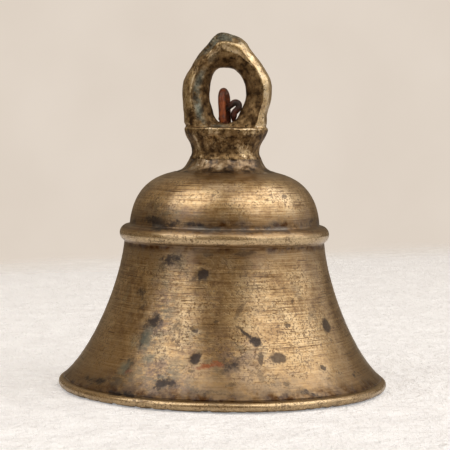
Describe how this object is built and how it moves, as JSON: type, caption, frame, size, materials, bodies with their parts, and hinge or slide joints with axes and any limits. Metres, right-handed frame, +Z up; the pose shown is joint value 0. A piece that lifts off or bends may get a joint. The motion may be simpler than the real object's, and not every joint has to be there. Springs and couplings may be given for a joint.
{
  "type": "brass hanging prayer bell",
  "caption": "Flared brass prayer bell with a beaded shoulder, a cast suspension loop, a rusty wire hanger held by a bent pin, and a ball clapper that swings inside.",
  "frame": {"origin": "centre of the mouth, on the plane that the rim rests on", "axes": "+Z up the bell's axis to the loop; +X and +Y across the mouth, with the loop's opening facing along Y"},
  "size_m": [0.0824, 0.0824, 0.0888],
  "materials": {
    "turned_brass": "worn lathe-turned brass with brown patina in the hollows",
    "cast_brass": "rough cast brass, polished by handling on its outer edges",
    "solder": "lumpy pale braze, dull",
    "rusty_iron": "rusted iron wire",
    "dark_iron": "dark oxidised iron wire",
    "clapper_brass": "dull cast brass"
  },
  "bodies": {
    "bell": {"bell_body": "turned_brass", "crown": "cast_brass", "neck_solder": "solder"},
    "pin": {"retaining_pin": "dark_iron"},
    "hanger": {"hanger_wire": "rusty_iron"},
    "clapper": {"clapper_shank": "rusty_iron", "clapper_bob": "clapper_brass"}
  },
  "joints": [
    {"name": "hanger_swivel", "type": "hinge", "parent": "bell", "child": "pin", "pos_m": [0, 0, 0.065], "axis": [0, 0, 1], "range_deg": [-24, 0]},
    {"name": "hanger_lift", "type": "slide", "parent": "pin", "child": "hanger", "axis": [0, 0, 1], "range_m": [0, 0.001]},
    {"name": "clapper_swing", "type": "hinge", "parent": "hanger", "child": "clapper", "pos_m": [0, 0, 0.0415], "axis": [0.3007, 0.9537, 0], "range_deg": [-35, 35]}
  ]
}
